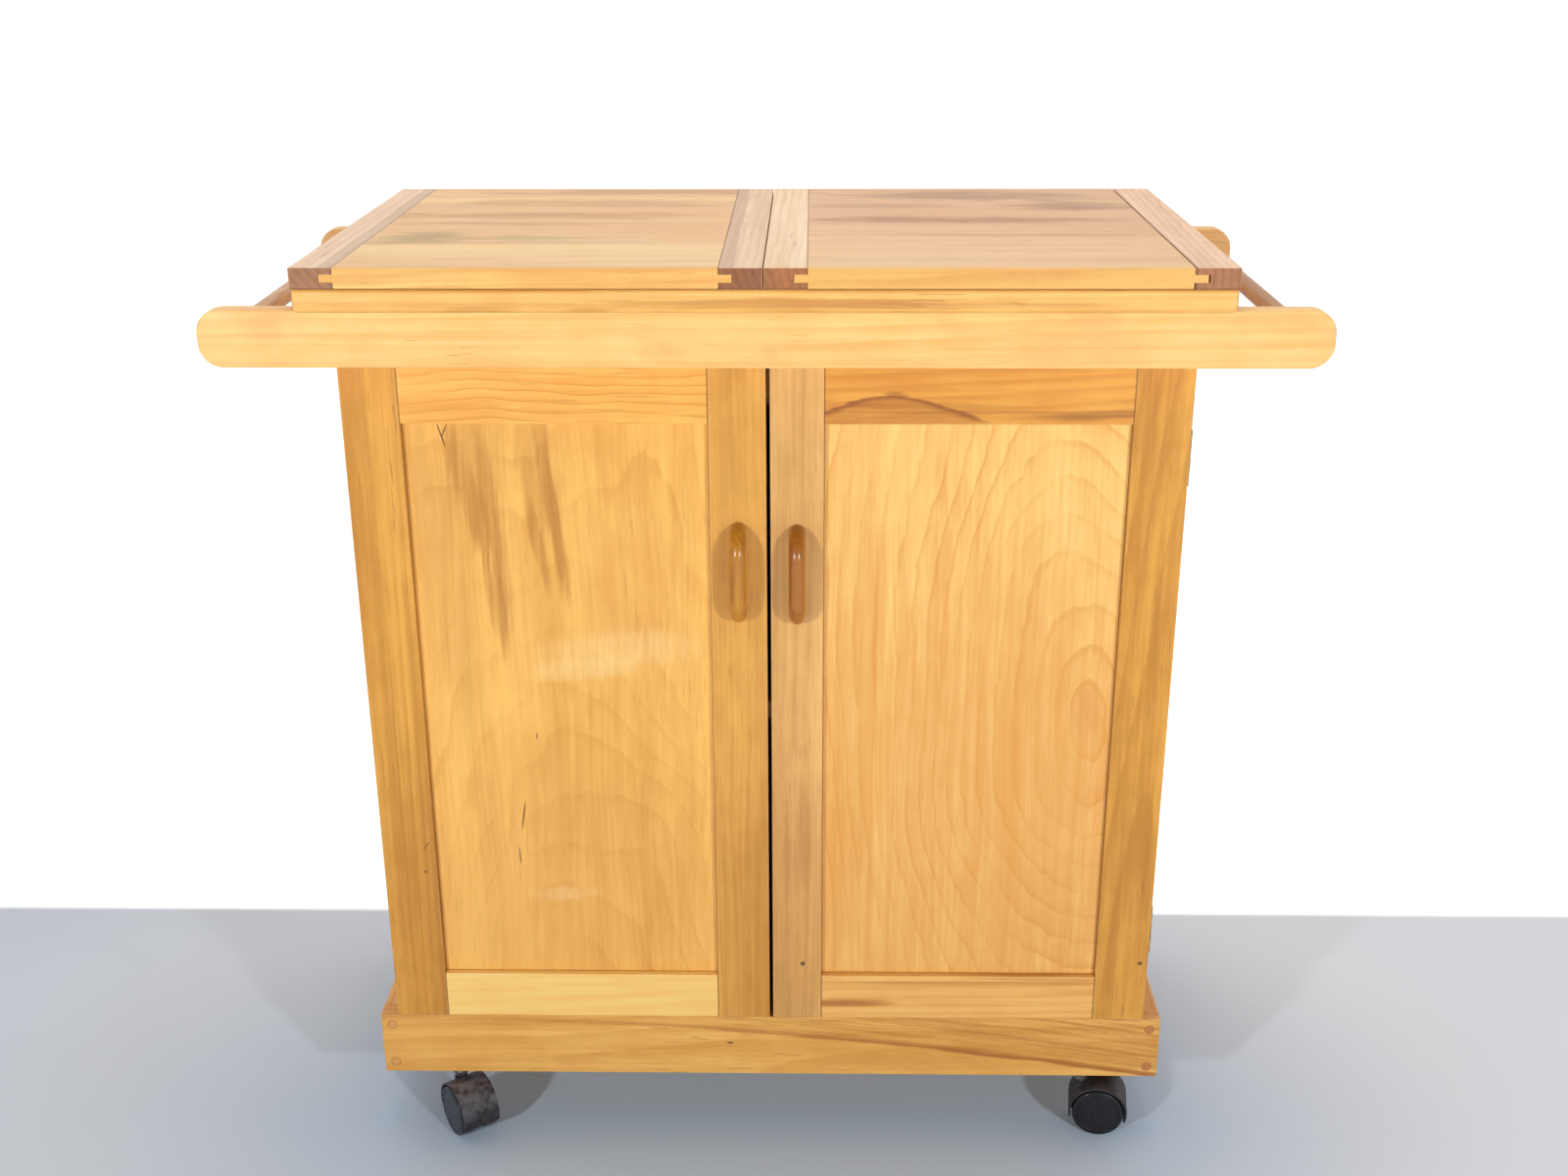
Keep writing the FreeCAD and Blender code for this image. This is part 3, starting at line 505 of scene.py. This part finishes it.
HONEY, HONEY_DARK = (239, 175, 73), (201, 135, 44)
LOW_STILES = {"left": -0.340, "right": 0.340}   # the X about which painted shade darkens the outer stiles low down
OUTER_STILE_MARKS = {
    "left": [((-0.3240, 0.2882), (0.0011, 0.0013), 0.0), ((-0.3212, 0.3160), (0.0005, 0.0040), 0.75)],
    "right": [((0.3554, 0.1922), (0.0022, 0.0020), 0.3)],
}
# The broad patch low on each outer stile is painted shade: the doors darker low down, where the lamp light
# falls off.
for side, tilt in (("left", 0.012), ("right", 0.05)):
    wood(f"{side}_outer_stile_wood", [f"{side}_door_outer_stile"], "z", HONEY, HONEY_DARK, tilt=tilt,
         spacing=0.008, streaks=0.40, flecks=0.5, contrast=1.2,
         marks=OUTER_STILE_MARKS[side],
         patches=[((LOW_STILES[side], 0.230), (0.060, 0.130), 0.0, 0.30, (174, 110, 40))])
# The last patch on each inner stile is the same painted shade low down.
wood("left_inner_stile_wood", ["left_door_inner_stile"], "z", (240, 178, 84), (205, 142, 54),
     lines=0.12, tilt=0.004, spacing=0.0035, streaks=0.35, contrast=0.9,
     patches=[((-0.024, 0.230), (0.060, 0.130), 0.0, 0.40, (172, 106, 30))])
wood("right_inner_stile_wood", ["right_door_inner_stile"], "z", (242, 188, 112), (206, 151, 80),
     (172, 118, 56), lines=0.12, tilt=0.03, spacing=0.009, streaks=0.30, contrast=0.9,
     marks=[((0.0323, 0.1895), (0.0022, 0.0022), 0.0)],
     patches=[((0.030, 0.315), (0.013, 0.050), 0.12, 0.45, (196, 146, 80)),
              ((0.026, 0.230), (0.060, 0.130), 0.0, 0.36, (176, 108, 34))])

wood("left_top_rail_wood", ["left_door_top_rail"], "x", (251, 192, 94), (230, 155, 62), (196, 122, 44),
     lines=0.60, contrast=0.7, crevices=SHOULDERS["left"],
     figure={"centre": (-0.20, 0.86), "stretch": 0.22, "spacing": 0.034, "ripple": 0.10, "swell": 0.16,
             "thin": 0.6})
wood("right_top_rail_wood", ["right_door_top_rail"], "x", (240, 175, 74), (216, 142, 52), (148, 80, 28),
     streaks=0.15, peak=((0.109, 0.7620), 0.075, 0.028, 1.00), crevices=SHOULDERS["right"],
     patches=[((0.205, 0.7370), (0.120, 0.0016), 0.0, 0.60), ((0.290, 0.7350), (0.052, 0.0045), 7.0, 0.70),
              ((0.150, 0.7420), (0.070, 0.0025), -6.0, 0.45), ((0.085, 0.7790), (0.060, 0.0030), 0.0, 0.40)])
wood("left_bottom_rail_wood", ["left_door_bottom_rail"], "x", (255, 217, 130), (255, 198, 106),
     (226, 160, 84), contrast=0.7, flecks=0.3, crevices=SHOULDERS["left"])
wood("right_bottom_rail_wood", ["right_door_bottom_rail"], "x", (250, 196, 110), (230, 162, 80),
     (186, 112, 46), streaks=0.25, crevices=SHOULDERS["right"],
     patches=[((0.072, 0.1455), (0.040, 0.0042), 0.0, 0.85, (176, 98, 36)),
              ((0.190, 0.1690), (0.150, 0.0018), 0.0, 0.55), ((0.265, 0.1740), (0.060, 0.0030), -8.0, 0.60)])

LEFT_PANEL_STREAKS = [
    ((-0.252, 0.700), (0.024, 0.075), 0.10, 0.60, (204, 144, 62)),
    ((-0.258, 0.655), (0.010, 0.060), -0.25, 0.60),
    ((-0.240, 0.640), (0.007, 0.075), -0.10, 0.65),
    ((-0.240, 0.560), (0.008, 0.045), -0.10, 0.70),
    ((-0.200, 0.690), (0.016, 0.065), -0.10, 0.50, (200, 140, 62)),
    ((-0.187, 0.645), (0.006, 0.080), -0.12, 0.70),
    ((-0.200, 0.610), (0.005, 0.040), -0.18, 0.55),
    ((-0.290, 0.600), (0.022, 0.150), -0.12, 0.40, (214, 156, 76)),
]
LEFT_PANEL_CLOUDS = [
    ((-0.120, 0.575), (0.040, 0.060), 0.10, 0.30, (228, 158, 80)),
    ((-0.200, 0.380), (0.075, 0.060), 0.0, 0.35, (226, 160, 70)),
    ((-0.180, 0.270), (0.150, 0.110), 0.0, 0.38, (224, 152, 72)),
    ((-0.125, 0.515), (0.060, 0.016), 0.6, 0.45, (255, 218, 146)),
    ((-0.165, 0.495), (0.040, 0.010), 0.8, 0.45, (255, 218, 146)),
    ((-0.195, 0.262), (0.028, 0.007), 0.5, 0.35, (255, 214, 150)),
]
LEFT_PANEL_CRACKS = [
    ((-0.2800, 0.7150), (0.0008, 0.0110), -0.28), ((-0.2772, 0.7180), (0.0006, 0.0055), 0.45),
    ((-0.2290, 0.3445), (0.0007, 0.0165), 0.17), ((-0.2345, 0.3027), (0.0006, 0.0100), -0.05),
    ((-0.2120, 0.4280), (0.0006, 0.0030), 0.1),
]
wood("left_panel_wood", ["left_door_panel"], "z", (255, 197, 102), (228, 163, 72), (184, 120, 42),
     lines=0.34, contrast=0.8, flecks=0.25, wander=0.03, edge_strength=0.0, rough=0.36, streaks=0.10,
     crevices=PANEL_EDGES["left"],
     figure={"centre": (-0.17, 0.10), "stretch": 4.2, "spacing": 0.021, "ripple": 0.030, "swell": 0.20,
             "thin": 0.4},
     patches=LEFT_PANEL_STREAKS + LEFT_PANEL_CLOUDS, marks=LEFT_PANEL_CRACKS)
wood("right_panel_wood", ["right_door_panel"], "z", (255, 210, 124), (234, 172, 84), (206, 140, 58),
     lines=0.58, contrast=0.6, flecks=0.12, wander=0.02, edge_strength=0.0, rough=0.36,
     crevices=PANEL_EDGES["right"],
     figure={"centre": (0.290, 0.452), "stretch": 2.3, "spacing": 0.0135, "ripple": 0.017, "swell": 0.110,
             "thin": 0.50},
     patches=[((0.290, 0.455), (0.014, 0.028), 0.0, 0.45, (222, 150, 72)),
              ((0.100, 0.500), (0.014, 0.180), 0.0, 0.30, (240, 172, 72)),
              ((0.190, 0.350), (0.180, 0.250), 0.0, 0.50, (230, 148, 62)),
              ((0.300, 0.250), (0.050, 0.060), 0.0, 0.25, (226, 160, 84))])

for side, pale, dark in (("left", (206, 138, 32), (166, 101, 18)), ("right", (176, 108, 22), (138, 78, 12))):
    wood(f"{side}_pull_wood", [f"{side}_door_pull"], "z", pale, dark, (118, 68, 28), pale,
         spacing=0.004, flecks=0.5, rough=0.34, gloss=0.42, edge_strength=0.0)


# ---------------------------------------------------------------- timber: skirt and cabinet

wood("skirt_front_wood", ["skirt_front_board"], "x", (249, 193, 102), (223, 158, 70), (170, 98, 34),
     spacing=0.007, streaks=0.25, flecks=0.5, slash=(0.1235, 0.110, 0.90),
     marks=[((-0.0388, 0.0966), (0.0032, 0.0011), 0.0)])
for name, along in (("skirt_back_board", "x"), ("skirt_left_board", "y"), ("skirt_right_board", "y")):
    wood(f"{name}_wood", [name], along, (240, 184, 102), (210, 146, 72), (172, 104, 50),
         spacing=0.007, streaks=0.45, flecks=0.5)


PLUG_RADIUS = 0.00475


def plugs():
    """End-grain plugs, darker to the right, each with a dark line round it."""
    s = Shader("plug_wood")
    x, _, z = s.parts(s.place)
    low, high = (Vector(corner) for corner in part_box("skirt_plugs"))
    middle, half = (low + high) / 2, (high - low) / 2
    a = s.subtract(s.math("ABSOLUTE", s.subtract(x, middle.x)), half.x - PLUG_RADIUS)
    b = s.subtract(s.math("ABSOLUTE", s.subtract(z, middle.z)), half.z - PLUG_RADIUS)
    out = s.math("SQRT", s.add(s.times(a, a), s.times(b, b)))
    pores = s.noise(s.place, (1100, 400, 1100), 3, 0.7)
    colour = s.blend(s.smooth(x, -0.2, 0.2), srgb(226, 166, 90), srgb(200, 128, 68))
    colour = s.blend(s.smooth(pores, 0.35, 0.75, 0.0, 0.5), colour, srgb(164, 100, 48))
    rim = s.smooth(out, PLUG_RADIUS * 0.82, PLUG_RADIUS * 0.96, 0.0, 0.8)
    colour = s.blend(rim, colour, srgb(140, 84, 38))
    assign(s.finish(colour, 0.5, s.bump(pores, 0.00008, 0.5)), ["skirt_plugs"])


plugs()

for side, tilt in (("left", 0.03), ("right", -0.02)):
    wood(f"{side}_side_wood", [f"{side}_side_panel"], "z", (246, 192, 110), (222, 160, 82), (182, 116, 54),
         strips=0.085, spacing=0.010, tilt=tilt, streaks=0.30, flecks=0.45)
    wood(f"{side}_bearer_wood", [f"{side}_top_bearer"], "y", (240, 186, 110), (214, 152, 82), streaks=0.35)
wood("back_wood", ["back_panel"], "z", (248, 198, 116), (226, 166, 86), (190, 126, 52), lines=0.45,
     contrast=0.7, edge_strength=0.0,
     figure={"centre": (-0.08, 0.50), "stretch": 4.0, "spacing": 0.016, "ripple": 0.030, "swell": 0.16,
             "thin": 0.5},
     patches=[((0.150, 0.560), (0.020, 0.130), 0.05, 0.45), ((-0.230, 0.300), (0.026, 0.110), -0.08, 0.40)],
     marks=[((0.2100, 0.3300), (0.0022, 0.0024), 0.0), ((-0.1500, 0.6600), (0.0007, 0.0120), 0.15)])
for name, strips in (("bottom_panel", 0.080), ("shelf", 0.080), ("front_stretcher", None)):
    wood(f"{name}_wood", [name], "x", (246, 194, 114), (222, 160, 84), streaks=0.25, strips=strips)


# ---------------------------------------------------------------- plastic and metal

def moulded(name, base, dust, dust_strength, rough, scuffs):
    """Moulded plastic with a fine grain, dust that settles on what faces up, and pale scuffs."""
    s = Shader(name)
    grain = s.noise(s.place, (1500, 1500, 1500), 2, 0.6)
    cloud = s.noise(s.place, (90, 90, 90), 4, 0.65)
    scuff = s.smooth(s.noise(s.place, (60, 240, 420), 3, 0.6), 0.62, 0.72)
    up = s.parts(s.facing)[2]
    settled = s.times(s.smooth(up, -0.25, 0.95, 0.25, 1.0), s.smooth(cloud, 0.34, 0.66))
    colour = s.blend(s.times(cloud, 0.5), srgb(*base), srgb(*(value * 0.7 for value in base)))
    colour = s.blend(s.times(settled, dust_strength), colour, srgb(*dust))
    colour = s.blend(s.times(scuff, scuffs), colour, srgb(128, 122, 118))
    roughness = s.add(rough, s.times(settled, 0.25))
    return s.finish(colour, roughness, s.bump(grain, 0.00005, 0.5))


def metal(name, bright, dull, rough, metallic=1.0):
    """Metal with fine drawn lines and patches of tarnish."""
    s = Shader(name)
    lines = s.noise(s.place, (2400, 160, 2400), 2, 0.6)
    tarnish = s.smooth(s.noise(s.place, (130, 130, 130), 4, 0.65), 0.42, 0.68)
    colour = s.blend(tarnish, srgb(*bright), srgb(*dull))
    roughness = s.add(s.add(rough, s.times(tarnish, 0.25)), s.times(lines, 0.10))
    return s.finish(colour, roughness, s.bump(lines, 0.00002, 0.4), **{"Metallic": metallic})


CASTERS = ("front_left", "front_right", "rear_left", "rear_right")
LEFT_DUST, RIGHT_DUST = 0.75, 0.16
for caster in CASTERS:
    dusty = LEFT_DUST if caster.endswith("left") else RIGHT_DUST
    hood = moulded(f"{caster}_hood_plastic", (24, 19, 21), (114, 112, 121), dusty, 0.42, 0.25)
    assign(hood, [f"{caster}_hood"])
wheel_plastic = moulded("wheel_plastic", (21, 20, 23), (52, 50, 54), 0.20, 0.24, 0.12)
assign(wheel_plastic, [f"{caster}_wheels" for caster in CASTERS])
assign(metal("caster_metal", (176, 174, 170), (112, 106, 98), 0.28),
       ["caster_stems"] + [f"{caster}_axle" for caster in CASTERS])
assign(metal("hinge_metal", (196, 168, 110), (120, 94, 58), 0.30),
       ["fixed_hinge_plates", "left_leaf_hinge_plates", "right_leaf_hinge_plates",
        "left_door_hinge_plates", "right_door_hinge_plates"])
assign(metal("fastener_metal", (190, 186, 178), (128, 120, 108), 0.30),
       ["hinge_pins", "frame_screws", "left_leaf_screws", "right_leaf_screws", "left_door_screws",
        "right_door_screws"])


# ---------------------------------------------------------------- studio

WHITE, WHITE_GROUND = (1.0, 1.0, 1.0, 1.0), (0.95, 0.95, 0.95, 1.0)
FLOOR_REACH = 40.0
CLOTH_EDGE = (0.235, 0.250)   # where the cloth ends behind the table, in Y
FAR_OFF = (2.0, 3.4)          # where it fades to white all round, as a distance from the middle
GLOW_BEHIND, GLOW_AFAR = 0.60, 0.15
SKY_FRONT, SKY_BACK = 0.14, 0.90
SIDE_LAMP_X, SIDE_LAMP_SIZE, SIDE_LAMP_POWER = 1.25, 0.14, 18.6
CEILING_LAMP_SIZE, CEILING_LAMP_POWER = 1.40, 15.6


def floor():
    """A plain pale floor: a light grey ground cloth under the table, white behind it and far off."""
    mesh = bpy.data.meshes.new("floor")
    turns = ((-1, -1), (1, -1), (1, 1), (-1, 1))
    corners = [(across * FLOOR_REACH, along * FLOOR_REACH, 0) for across, along in turns]
    mesh.from_pydata(corners, [], [(0, 1, 2, 3)])
    ground = bpy.data.objects.new("floor", mesh)
    bpy.context.scene.collection.objects.link(ground)
    s = Shader("floor_cloth")
    x, y, _ = s.parts(s.place)
    beyond = s.smooth(y, *CLOTH_EDGE)
    afar = s.smooth(s.math("SQRT", s.add(s.times(x, x), s.times(y, y))), *FAR_OFF)
    cloud = s.noise(s.place, (3, 3, 3), 3, 0.5)
    weave = s.noise(s.place, (700, 700, 700), 2, 0.5)
    cloth = s.blend(cloud, srgb(197, 203, 212), srgb(209, 215, 224))
    cloth = s.blend(s.smooth(x, -0.7, 0.9), cloth, srgb(223, 227, 234))
    # Painted shade: the cloth tinted bluer under and round the table, where the table shades it.
    painted_shade_beneath = s.oval(x, y, (0.0, -0.10), (0.50, 0.34), 0.0, 0.0, 0.0, 0.5)
    cloth = s.blend(s.times(painted_shade_beneath, 0.75), cloth, srgb(185, 210, 236))
    cloth = s.blend(s.times(weave, 0.10), cloth, srgb(160, 161, 166))
    folds = s.noise(s.place, (5, 1.6, 1), 2, 0.4)
    colour = s.blend(s.both(beyond, afar), cloth, WHITE_GROUND)
    glow = s.both(s.times(beyond, GLOW_BEHIND), s.times(afar, GLOW_AFAR))
    s.finish(colour, 0.9, s.bump(folds, 0.02, 0.25), **{"Emission Color": WHITE, "Emission Strength": glow})
    mesh.materials.append(s.material)


def lamp(name, place, target, size, power):
    """A round area lamp that faces the target, with its size in metres and its power in watts."""
    light = bpy.data.lights.new(name, "AREA")
    light.shape = "DISK"
    light.size = size
    light.energy = power
    lit = bpy.data.objects.new(name, light)
    lit.location = place
    lit.rotation_euler = (Vector(target) - Vector(place)).to_track_quat("-Z", "Y").to_euler()
    bpy.context.scene.collection.objects.link(lit)


def surroundings():
    """White light from all round: dim in front, bright behind, with a bright rim at the horizon."""
    world = bpy.data.worlds.new("studio")
    world.use_nodes = True
    bpy.context.scene.world = world
    tree = world.node_tree
    tree.nodes.clear()
    coordinates = tree.nodes.new("ShaderNodeTexCoord")
    split = tree.nodes.new("ShaderNodeSeparateXYZ")
    tree.links.new(coordinates.outputs["Generated"], split.inputs[0])

    def ramp(value, low, high, start, end):
        node = tree.nodes.new("ShaderNodeMapRange")
        node.interpolation_type = "SMOOTHSTEP"
        for socket, item in zip(("From Min", "From Max", "To Min", "To Max"), (low, high, start, end)):
            node.inputs[socket].default_value = item
        tree.links.new(value, node.inputs["Value"])
        return node.outputs[0]

    def join(operation, a, b):
        node = tree.nodes.new("ShaderNodeMath")
        node.operation = operation
        for socket, value in zip(node.inputs, (a, b)):
            tree.links.new(value, socket)
        return node.outputs[0]

    sky = ramp(split.outputs[1], -0.35, 0.35, SKY_FRONT, SKY_BACK)
    rim = ramp(split.outputs[2], 0.06, 0.14, 0.95, 0.0)
    background = tree.nodes.new("ShaderNodeBackground")
    background.inputs["Color"].default_value = WHITE
    tree.links.new(join("MAXIMUM", sky, rim), background.inputs["Strength"])
    output = tree.nodes.new("ShaderNodeOutputWorld")
    tree.links.new(background.outputs[0], output.inputs[0])


def camera():
    """Looks at the doors from in front and above, a little right of the middle."""
    place = Vector((0.03954, -1.61607, 1.13581))
    pitch, yaw, roll = 0.36720, -0.01662, 0.00290
    forward = Vector((math.sin(yaw) * math.cos(pitch), math.cos(yaw) * math.cos(pitch), -math.sin(pitch)))
    right = Vector((math.cos(yaw), -math.sin(yaw), 0.0))
    down = forward.cross(right)
    tipped_right = right * math.cos(roll) + down * math.sin(roll)
    tipped_down = down * math.cos(roll) - right * math.sin(roll)
    lens = bpy.data.cameras.new("camera")
    lens.sensor_width = 36.0
    lens.lens = 40.485
    eye = bpy.data.objects.new("camera", lens)
    axes = Matrix((tipped_right, -tipped_down, -forward)).transposed()
    eye.matrix_world = Matrix.Translation(place) @ axes.to_4x4()
    bpy.context.scene.collection.objects.link(eye)
    bpy.context.scene.camera = eye


floor()
surroundings()
for name, x in (("left_lamp", -SIDE_LAMP_X), ("right_lamp", SIDE_LAMP_X)):
    lamp(name, (x, -2.0, 1.05), (0.0, 0.0, 0.45), SIDE_LAMP_SIZE, SIDE_LAMP_POWER)
lamp("ceiling_lamp", (0.0, 0.35, 2.60), (0.0, 0.0, 0.80), CEILING_LAMP_SIZE, CEILING_LAMP_POWER)
camera()
bpy.context.scene.view_settings.view_transform = "Standard"
